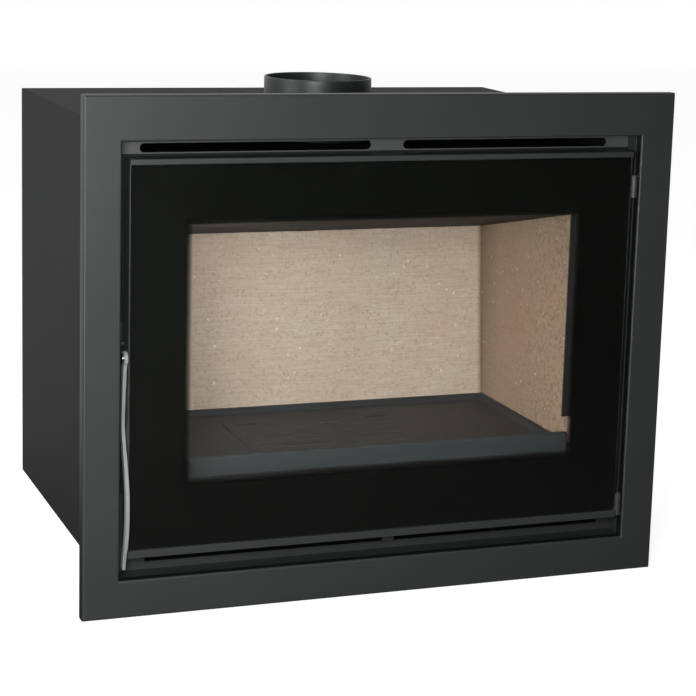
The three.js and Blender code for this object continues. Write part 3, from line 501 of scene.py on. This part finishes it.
# ---------- mesh helpers ----------
def piece(bm, name, finish, body, nodes=()):
    """Makes the mesh an object at the origin, which rides on a body and stands for CAD nodes."""
    mesh = bpy.data.meshes.new(name)
    bm.to_mesh(mesh)
    bm.free()
    mesh.materials.append(FINISH[finish])
    mesh.shade_smooth()
    mesh.set_sharp_from_angle(angle=SHADE_SHARP)
    made = bpy.data.objects.new(name, mesh)
    bpy.context.scene.collection.objects.link(made)
    even = made.modifiers.new("even_shading", "WEIGHTED_NORMAL")
    even.keep_sharp = True
    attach(made, body)
    if nodes:
        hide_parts(*nodes)
    return made


def merged(name):
    """A copy of a CAD node's mesh, with its vertices joined and its flat faces whole."""
    bm = bmesh.new()
    bm.from_mesh(frame["nodes"][name].data)
    bmesh.ops.remove_doubles(bm, verts=bm.verts, dist=WELD)
    bmesh.ops.dissolve_limit(bm, angle_limit=FLAT, verts=bm.verts, edges=bm.edges)
    return bm


def sharp_edges(bm):
    """The edges between two faces that meet at a clear angle."""
    return [e for e in bm.edges if len(e.link_faces) == 2 and e.calc_face_angle() > ROUNDED]


def round_edges(bm, radius, segments=2):
    """Rounds every sharp edge."""
    bmesh.ops.bevel(bm, geom=sharp_edges(bm), offset=radius, offset_type="OFFSET", affect="EDGES",
                    segments=segments, profile=0.5, material=-1, clamp_overlap=True)


def rounded_copy(node, slot, radius, segments=2):
    """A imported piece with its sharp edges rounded."""
    bm = merged(node)
    round_edges(bm, radius, segments)
    return piece(bm, f"{node}_finished", LOOK_OF.get(node, slot), BODY_OF[node], [node])


def turned(profile, centre, axis, steps):
    """A turned solid: the profile's [radius, height] points are spun once round the axis."""
    bm = bmesh.new()
    turn = axis.to_track_quat("Z", "X").to_matrix().to_4x4()
    turn.translation = centre
    points = [bm.verts.new(turn @ Vector((r, 0, h))) for r, h in profile]
    line = [bm.edges.new(pair) for pair in zip(points, points[1:])]
    bmesh.ops.spin(bm, geom=points + line, cent=centre, axis=axis, angle=math.tau, steps=steps,
                   use_merge=True)
    bmesh.ops.remove_doubles(bm, verts=bm.verts, dist=WELD)
    bmesh.ops.recalc_face_normals(bm, faces=bm.faces)
    return bm


# ---------- stage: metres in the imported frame, and watts ----------
WHITE_FLOOR = "dcdcda"
FLOOR_HALF = 8.0
FLOOR_LIFT = 0.85             # glow on top of the lit floor, for the camera
MIDDLE = (0, 0, 0.33)         # of the insert
KEY = {"at": (-0.85, -1.8, 0.75), "size": 0.5, "power": 34}
SIDE = {"at": (-2.0, -0.35, 1.1), "size": 0.8, "power": 18}
TOP = {"at": (-0.5, -0.1, 2.6), "size": 1.6, "power": 12}
INSIDE = {"at": (-0.19, -0.17, 0.42), "size": 0.12, "power": 0.46}
INSIDE_AIM = (-0.05, 0.3, 0.2)
ROOM = 0.16                   # level of the room's own light
DIM_ROOM = 0.012              # what gloss and glass see of the room in front of the insert
PALE_ROOM = 0.05              # the same on the room's brighter side, the left
# Of a point on the floor in metres, or of a direction into the room:
ROOM_SIDES = (-0.1, 0.9)      # x over which the room turns from pale to dim
BEHIND = (0.1, 0.9)           # y over which it turns to white


def lamp(name, settings, target=MIDDLE):
    """A square lamp that is aimed at the target."""
    light = bpy.data.lights.new(name, "AREA")
    light.shape = "SQUARE"
    light.size = settings["size"]
    light.energy = settings["power"]
    made = bpy.data.objects.new(name, light)
    made.location = settings["at"]
    aim = Vector(target) - made.location
    made.rotation_euler = aim.to_track_quat("-Z", "Y").to_euler()
    bpy.context.scene.collection.objects.link(made)
    return made


def shown(tree, aside, depth, plain):
    """Level of the stage for each kind of ray: white to the camera, plain to diffuse light. Gloss and
    glass see it white behind the insert, and as the dim room in front of it. The second value given
    back is 1 for those rays."""
    rays = add(tree, "ShaderNodeLightPath").outputs
    room = ranged(tree, aside, PALE_ROOM, DIM_ROOM, *ROOM_SIDES)
    behind = ranged(tree, depth, 0, 1, *BEHIND)
    gloss = calculated(tree, "MAXIMUM", room, behind)
    mirrored = calculated(tree, "MAXIMUM", rays["Is Glossy Ray"], rays["Is Transmission Ray"])
    level = add(tree, "ShaderNodeMix", {2: plain}, {0: mirrored, 3: gloss}).outputs[0]
    return add(tree, "ShaderNodeMix", {3: 1.0}, {0: rays["Is Camera Ray"], 2: level}).outputs[0], mirrored


def room_light():
    """The world: a plain pale room all round."""
    world = bpy.data.worlds.new("room")
    bpy.context.scene.world = world
    world.use_nodes = True
    tree = world.node_tree
    tree.nodes.clear()
    way = add(tree, "ShaderNodeTexCoord").outputs["Generated"]
    parts = add(tree, "ShaderNodeSeparateXYZ", links={0: way}).outputs
    level, _ = shown(tree, parts["X"], parts["Y"], ROOM)
    background = add(tree, "ShaderNodeBackground", {"Color": (1, 1, 1, 1)}, {"Strength": level})
    add(tree, "ShaderNodeOutputWorld", links={"Surface": background.outputs[0]})


def white_floor():
    """Matt white floor, lifted to white for the camera. It keeps the insert's shadow."""
    made, tree, place = start("pale_floor")
    lit = add(tree, "ShaderNodeBsdfDiffuse", {"Color": linear(WHITE_FLOOR)}).outputs["BSDF"]
    parts = add(tree, "ShaderNodeSeparateXYZ", links={0: place}).outputs
    level, mirrored = shown(tree, parts["X"], parts["Y"], 0.0)
    lift = calculated(tree, "MULTIPLY", level, FLOOR_LIFT)
    glow = add(tree, "ShaderNodeEmission", {"Color": (1, 1, 1, 1)}, {"Strength": lift}).outputs["Emission"]
    both = add(tree, "ShaderNodeAddShader", links={0: lit, 1: glow}).outputs["Shader"]
    surface(tree, add(tree, "ShaderNodeMixShader", links={0: mirrored, 1: both, 2: glow}).outputs["Shader"])
    return made


def photo_camera():
    """The photograph's view. The lens and shift are those of the solved camera in its square frame."""
    turn = Vector((math.sin(CAMERA_YAW) * math.cos(CAMERA_PITCH),
                   math.cos(CAMERA_YAW) * math.cos(CAMERA_PITCH), -math.sin(CAMERA_PITCH)))
    level = Vector((math.cos(CAMERA_YAW), -math.sin(CAMERA_YAW), 0))
    upright = level.cross(turn)
    right = math.cos(CAMERA_ROLL) * level + math.sin(CAMERA_ROLL) * upright
    up = math.cos(CAMERA_ROLL) * upright - math.sin(CAMERA_ROLL) * level
    data = bpy.data.cameras.new("camera")
    data.sensor_width = SENSOR_MM
    data.lens = FOCAL_PX / FRAME_PX * SENSOR_MM
    data.shift_x = (FRAME_PX / 2 - CENTRE_PX[0]) / FRAME_PX
    data.shift_y = (CENTRE_PX[1] - FRAME_PX / 2) / FRAME_PX
    made = bpy.data.objects.new("camera", data)
    made.matrix_world = Matrix.Translation(at(*CAMERA_AT)) @ Matrix((right, up, -turn)).transposed().to_4x4()
    bpy.context.scene.collection.objects.link(made)
    bpy.context.scene.camera = made


class FIREPLACE_OT_stage(bpy.types.Operator):
    """Camera, lamps, room light and floor"""
    bl_idname = "fireplace.stage"
    bl_label = "Stage"

    def execute(self, context):
        photo_camera()
        lamp("key", KEY)
        lamp("side", SIDE)
        lamp("top", TOP)
        lamp("inside", INSIDE, INSIDE_AIM).visible_camera = False
        room_light()
        bm = bmesh.new()
        bmesh.ops.create_grid(bm, x_segments=1, y_segments=1, size=FLOOR_HALF)
        mesh = bpy.data.meshes.new("floor")
        bm.to_mesh(mesh)
        bm.free()
        mesh.materials.append(white_floor())
        floor = bpy.data.objects.new("floor", mesh)
        context.scene.collection.objects.link(floor)
        context.scene.view_settings.view_transform = "Standard"
        return {"FINISHED"}


# ---------- pieces ----------
class FIREPLACE_OT_finishes(bpy.types.Operator):
    """Mixes the finishes"""
    bl_idname = "fireplace.finishes"
    bl_label = "Finishes"

    def execute(self, context):
        FINISH.update(mixed_finishes())
        return {"FINISHED"}


class FIREPLACE_OT_sheet_steel(bpy.types.Operator):
    """Surround, throat, casing, door bars and firebox sheets with soft folded edges"""
    bl_idname = "fireplace.sheet_steel"
    bl_label = "Sheet steel"

    def execute(self, context):
        for finish in ("frame_paint", "vent_paint", "casing_paint", "stove_paint", "bare_steel"):
            for node in SLOT_OF[finish]:
                rounded_copy(node, finish, sizes().sheet_round)
        return {"FINISHED"}


# The caps fill the rails' bores. Front and back are depths behind the surround's front plane.
CAP_FRONT = 7.8 * MM
CAP_BACK = 27.8 * MM
CAP_EDGE = 3.2 * MM           # above and below the cap, the rail's own walls
CAP_T = 3 * MM


class FIREPLACE_OT_tube_caps(bpy.types.Operator):
    """Pressed caps in the open ends of the door's rails"""
    bl_idname = "fireplace.tube_caps"
    bl_label = "Tube caps"

    def execute(self, context):
        for row in ("top", "bottom"):
            low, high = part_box(f"door_rail_{row}")
            front, back = FRONT + CAP_FRONT, FRONT + CAP_BACK
            for name, outer, inner in (("left", low.x, low.x + CAP_T), ("right", high.x, high.x - CAP_T)):
                bm = bmesh.new()
                bmesh.ops.create_cube(bm, size=1.0)
                x0, x1 = sorted((outer, inner))
                z0, z1 = low.z + CAP_EDGE, high.z - CAP_EDGE
                bmesh.ops.scale(bm, verts=bm.verts, vec=(x1 - x0, back - front, z1 - z0))
                bmesh.ops.translate(bm, verts=bm.verts,
                                    vec=((x0 + x1) / 2, (front + back) / 2, (z0 + z1) / 2))
                round_edges(bm, sizes().sheet_round)
                piece(bm, f"tube_cap_{row}_{name}", "frame_paint", "door")
        return {"FINISHED"}


class FIREPLACE_OT_cast_iron(bpy.types.Operator):
    """Hearth plate, grate and log retainer with the soft edges of a casting"""
    bl_idname = "fireplace.cast_iron"
    bl_label = "Cast iron"

    def execute(self, context):
        for node in SLOT_OF["cast_hearth"]:
            radius = sizes().cast_round if node != "grate" else sizes().cast_round / 2
            rounded_copy(node, "cast_hearth", radius, segments=3)
        return {"FINISHED"}


CHIP_STEP = 4 * MM            # spacing of the vertices along a board's edges
CHIP_GRAIN = 7 * MM           # size of a chip


def chipped_board(node, depth):
    """A board whose edges are crumbled: they are cut into short lengths, rounded, and worn inwards."""
    bm = merged(node)
    for edge in sharp_edges(bm):
        cuts = int(edge.calc_length() / CHIP_STEP)
        if cuts:
            bmesh.ops.bisect_edges(bm, edges=[edge], cuts=cuts)
    round_edges(bm, depth)
    middle = sum((v.co for v in bm.verts), Vector()) / len(bm.verts)
    for v in bm.verts:
        wear = max(0.0, noise.noise(v.co / CHIP_GRAIN)) * depth
        v.co += (middle - v.co).normalized() * wear
    return piece(bm, f"{node}_finished", "vermiculite", BODY_OF[node], [node])


class FIREPLACE_OT_lining(bpy.types.Operator):
    """Vermiculite boards of the lining"""
    bl_idname = "fireplace.lining"
    bl_label = "Lining"

    def execute(self, context):
        for node in ("lining_left", "lining_right", "lining_back"):
            chipped_board(node, sizes().board_chip)
        return {"FINISHED"}


def plate(corners_outer, corners_inner, y0, y1):
    """A flat ring between two rectangles of (x, z) corners in metres, from y0 to y1."""
    bm = bmesh.new()
    loops = []
    for corners in (corners_outer, corners_inner):
        verts = [bm.verts.new((x, y0, z)) for x, z in corners]
        loops += [bm.edges.new((a, b)) for a, b in zip(verts, verts[1:] + verts[:1])]
    bmesh.ops.bridge_loops(bm, edges=loops)
    grown = bmesh.ops.extrude_face_region(bm, geom=bm.faces[:])["geom"]
    far = [v for v in grown if isinstance(v, bmesh.types.BMVert)]
    bmesh.ops.translate(bm, verts=far, vec=(0, y1 - y0, 0))
    bmesh.ops.recalc_face_normals(bm, faces=bm.faces)
    return bm


def rectangle(x0, x1, z0, z1):
    """Its four (x, z) corners, in order."""
    return [(x0, z0), (x1, z0), (x1, z1), (x0, z1)]


class FIREPLACE_OT_glass(bpy.types.Operator):
    """Glass pane, and the black print on its back"""
    bl_idname = "fireplace.glass"
    bl_label = "Glass"

    def execute(self, context):
        low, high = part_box("door_glass")
        size = sizes()
        bm = merged("door_glass")
        round_edges(bm, size.sheet_round)
        piece(bm, "door_glass_pane", "stove_glass", "door", ["door_glass"])
        edge = size.sheet_round
        inset = size.window_fade / 2
        y0 = high.y + SKIN / 2
        outside = rectangle(low.x + edge, high.x - edge, low.z + edge, high.z - edge)
        window = rectangle(-size.window_half + inset, size.window_half - inset,
                           LOWER + size.window_low + inset, LOWER + size.window_high - inset)
        ring = plate(outside, window, y0, y0 + SKIN)
        piece(ring, "glass_print", "print", "door")
        return {"FINISHED"}


ROPE_STEP = 4 * MM
ROPE_LOBES = 5
ROPE_LAY = 0.1                # how deep the lobes are, as a share of the rope's radius
ROPE_SIDES = 30
ROPE_HALF_WIDE = 4.4 * MM
ROPE_CORNER = 12 * MM
ROPE_CORNER_STEPS = 5


def rope_stations(x, z_low, z_high, corner):
    """(point, direction) along a rounded rectangle, once round."""
    runs = [((-x + corner, z_low), (x - corner, z_low)), ((x, z_low + corner), (x, z_high - corner)),
            ((x - corner, z_high), (-x + corner, z_high)), ((-x, z_high - corner), (-x, z_low + corner))]
    found = []
    for (x0, z0), (x1, z1) in runs:
        start_at, way = Vector((x0, 0, z0)), Vector((x1 - x0, 0, z1 - z0))
        steps = max(1, round(way.length / ROPE_STEP))
        found += [(start_at + way * i / steps, way.normalized()) for i in range(steps + 1)]
        centre = start_at + way + Vector((-way.z, 0, way.x)).normalized() * corner
        for i in range(1, ROPE_CORNER_STEPS):
            turn = Matrix.Rotation(-math.pi / 2 * i / ROPE_CORNER_STEPS, 3, "Y")
            found.append((centre + turn @ (start_at + way - centre), turn @ way.normalized()))
    return found


class FIREPLACE_OT_rope_seal(bpy.types.Operator):
    """Twisted rope in the channel on the door's back"""
    bl_idname = "fireplace.rope_seal"
    bl_label = "Rope seal"

    def execute(self, context):
        low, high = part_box("door_seal")
        half_deep = (high.y - low.y) / 2
        middle = Vector((0, (low.y + high.y) / 2, 0))
        back = Vector((0, 1, 0))
        bm = bmesh.new()
        stations = rope_stations(high.x - ROPE_HALF_WIDE, low.z + ROPE_HALF_WIDE,
                                 high.z - ROPE_HALF_WIDE, ROPE_CORNER)
        # A whole number of turns, so that the lay meets itself where the rope closes.
        whole_twist = math.tau * round(len(stations) * ROPE_STEP / sizes().rope_strand / ROPE_LOBES)
        rings = []
        for i, (point, way) in enumerate(stations):
            twist = whole_twist * (i / len(stations))
            side = way.cross(back)
            ring = []
            for k in range(ROPE_SIDES):
                angle = math.tau * k / ROPE_SIDES
                lobe = 1 - ROPE_LAY + ROPE_LAY * abs(math.cos(ROPE_LOBES * (angle + twist) / 2))
                ring.append(bm.verts.new(point + middle
                                         + side * math.cos(angle) * ROPE_HALF_WIDE * lobe
                                         + back * math.sin(angle) * half_deep * lobe))
            rings.append([bm.edges.new(pair) for pair in zip(ring, ring[1:] + ring[:1])])
        for a, b in zip(rings, rings[1:] + rings[:1]):
            bmesh.ops.bridge_loops(bm, edges=a + b)
        bmesh.ops.recalc_face_normals(bm, faces=bm.faces)
        piece(bm, "door_seal_rope", "rope_seal", "door", ["door_seal"])
        return {"FINISHED"}


FLUE_STEPS = 128
FLUE_OUT = 75 * MM            # outer radius, for a pipe of 150 mm
FLUE_WALL = 3 * MM
FLANGE_T = 3 * MM
BEAD = 1.4 * MM
RIM_STEPS = 8


class FIREPLACE_OT_flue_collar(bpy.types.Operator):
    """Turned collar with a rounded rim"""
    bl_idname = "fireplace.flue_collar"
    bl_label = "Flue collar"

    def execute(self, context):
        low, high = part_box("flue_collar")
        tall = high.z - low.z
        flange = (high.x - low.x) / 2
        bore = FLUE_OUT - FLUE_WALL
        angles = [math.pi * i / RIM_STEPS for i in range(RIM_STEPS + 1)]
        rim = [(FLUE_OUT - FLUE_WALL / 2 + FLUE_WALL / 2 * math.cos(a), tall - BEAD + BEAD * math.sin(a))
               for a in angles]
        profile = [(bore, 0), (flange - BEAD, 0), (flange, BEAD), (flange, FLANGE_T - BEAD / 2),
                   (flange - BEAD / 2, FLANGE_T), (FLUE_OUT + BEAD, FLANGE_T),
                   (FLUE_OUT, FLANGE_T + BEAD), *rim, (bore, 0)]
        centre = Vector(((low.x + high.x) / 2, (low.y + high.y) / 2, low.z))
        bm = turned(profile, centre, Vector((0, 0, 1)), FLUE_STEPS)
        piece(bm, "flue_collar_finished", "collar_paint", "root", ["flue_collar"])
        return {"FINISHED"}


BOLT_STEPS = 48
SHANK = 3 * MM                # radius
HEAD_TALL = 3.2 * MM
HEAD_EDGE = 1.1 * MM          # the straight part of the head's side
DOME_STEPS = 10


class FIREPLACE_OT_pivot_bolt(bpy.types.Operator):
    """Polished domed bolt that the lever turns on"""
    bl_idname = "fireplace.pivot_bolt"
    bl_label = "Pivot bolt"

    def execute(self, context):
        low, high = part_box("handle_bolt")
        head = (high.z - low.z) / 2
        centre = Vector((low.x, (low.y + high.y) / 2, (low.z + high.z) / 2))
        end = high.x - low.x
        angles = [math.pi / 2 * i / DOME_STEPS for i in range(1, DOME_STEPS + 1)]
        dome = [(head * math.sin(a), (HEAD_TALL - HEAD_EDGE) * (1 - math.cos(a))) for a in angles]
        profile = [(0, 0), *dome, (head, HEAD_TALL), (SHANK, HEAD_TALL), (SHANK, end), (0, end)]
        bm = turned(profile, centre, Vector((1, 0, 0)), BOLT_STEPS)
        piece(bm, "handle_bolt_finished", "polished_steel", "door", ["handle_bolt"])
        return {"FINISHED"}


class FIREPLACE_OT_feet(bpy.types.Operator):
    """Levelling feet: rubber pads on threaded studs"""
    bl_idname = "fireplace.feet"
    bl_label = "Feet"

    def execute(self, context):
        for node in sorted(n for n in frame["nodes"] if n.startswith("levelling_foot")):
            rounded_copy(node, "foot_rubber", sizes().sheet_round)
        return {"FINISHED"}


STEPS = (
    FIREPLACE_OT_stage, FIREPLACE_OT_finishes, FIREPLACE_OT_sheet_steel, FIREPLACE_OT_tube_caps,
    FIREPLACE_OT_cast_iron, FIREPLACE_OT_lining, FIREPLACE_OT_glass, FIREPLACE_OT_rope_seal,
    FIREPLACE_OT_flue_collar, FIREPLACE_OT_pivot_bolt, FIREPLACE_OT_feet,
)


class FIREPLACE_PT_panel(bpy.types.Panel):
    """The insert's pieces and finishes"""
    bl_idname = "FIREPLACE_PT_panel"
    bl_label = "Fireplace insert"
    bl_space_type = "VIEW_3D"
    bl_region_type = "UI"
    bl_category = "Fireplace"

    def draw(self, context):
        for group in (context.scene.fireplace_sizes, context.scene.fireplace_colours):
            column = self.layout.column()
            for name in group.bl_rna.properties.keys():
                if name not in ("rna_type", "name"):
                    column.prop(group, name)
        for step in STEPS:
            self.layout.operator(step.bl_idname)


CLASSES = (FireplaceSizes, FireplaceColours, *STEPS, FIREPLACE_PT_panel)


def register():
    for cls in CLASSES:
        bpy.utils.register_class(cls)
    bpy.types.Scene.fireplace_sizes = PointerProperty(type=FireplaceSizes)
    bpy.types.Scene.fireplace_colours = PointerProperty(type=FireplaceColours)


def unregister():
    del bpy.types.Scene.fireplace_colours
    del bpy.types.Scene.fireplace_sizes
    for cls in reversed(CLASSES):
        bpy.utils.unregister_class(cls)


def main():
    register()
    for step in STEPS:
        group, name = step.bl_idname.split(".")
        getattr(getattr(bpy.ops, group), name)()


if __name__ == "__main__":
    main()
